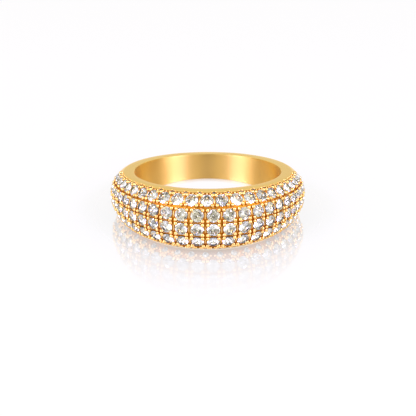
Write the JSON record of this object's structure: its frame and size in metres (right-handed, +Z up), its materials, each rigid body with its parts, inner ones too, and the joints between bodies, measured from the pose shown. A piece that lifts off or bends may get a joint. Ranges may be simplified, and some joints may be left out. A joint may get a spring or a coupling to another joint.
{
  "type": "half pave dome ring",
  "caption": "Finger ring with a domed front set with rows of small round faceted stones, flat side faces and a plain shank that narrows towards the back.",
  "frame": {"origin": "on the floor plane under the middle of the ring, which lies on its lower side face", "axes": "+Z up from the floor, -Y towards the set front of the ring, +X to the right seen from the front; the finger hole's axis leans 5.4 degrees from +Z towards +Y"},
  "size_m": [0.0224, 0.0217, 0.0066],
  "materials": {
    "gold": "polished",
    "stone": "faceted and polished"
  },
  "bodies": {
    "root": {"band": "gold", "pave_stones": "stone"}
  },
  "joints": []
}
